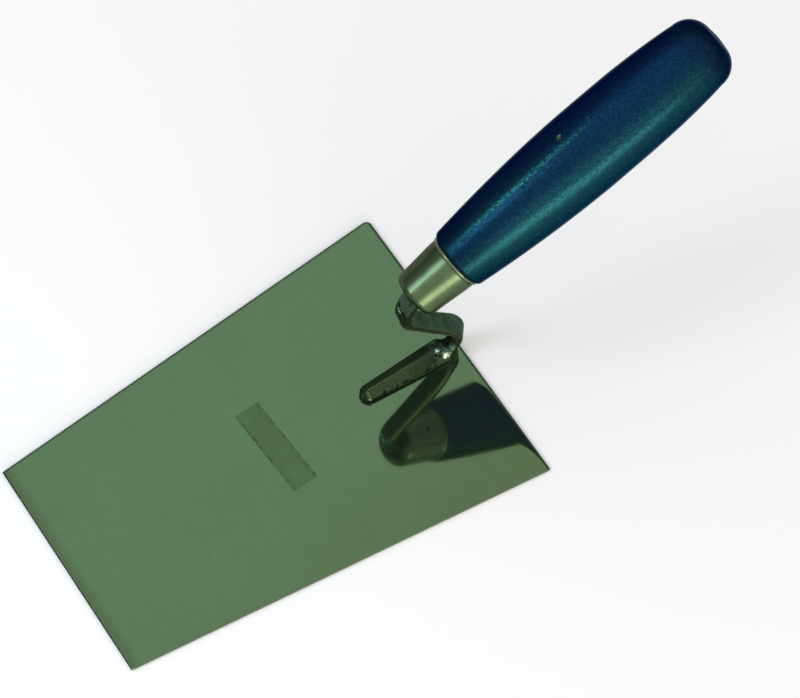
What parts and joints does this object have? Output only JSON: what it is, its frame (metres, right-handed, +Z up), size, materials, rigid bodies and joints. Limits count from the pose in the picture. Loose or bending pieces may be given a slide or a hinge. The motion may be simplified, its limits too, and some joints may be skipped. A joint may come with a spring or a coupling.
{
  "type": "brick trowel",
  "caption": "Hand trowel with a flat trapezoid steel blade, an S-shaped forged neck, a conical metal ferrule and a turned, lacquered wooden handle.",
  "frame": {"origin": "centre of the blade's underside, halfway between its rear and front edges", "axes": "+X from the neck towards the blade's front edge, +Y across the blade, +Z up, square to the blade on the side that carries the neck"},
  "size_m": [0.2845, 0.1292, 0.1543],
  "materials": {
    "blade_steel": "mirror-polished steel with a greenish clear coat and fine scratches",
    "forged_steel": "forged and lacquered steel, glossy, with small pits and wrinkles",
    "weld_steel": "plain weld bead under clear lacquer",
    "ferrule_metal": "bright plated sheet metal with fine drawing marks",
    "lacquered_wood": "dark blue gloss lacquer over open-grained wood",
    "label_film": "thin bare film, creased and worn at its edges"
  },
  "bodies": {
    "root": {"blade": "blade_steel", "neck": "forged_steel", "foot_weld": "weld_steel", "ferrule": "ferrule_metal", "handle": "lacquered_wood", "label": "label_film"}
  },
  "joints": []
}
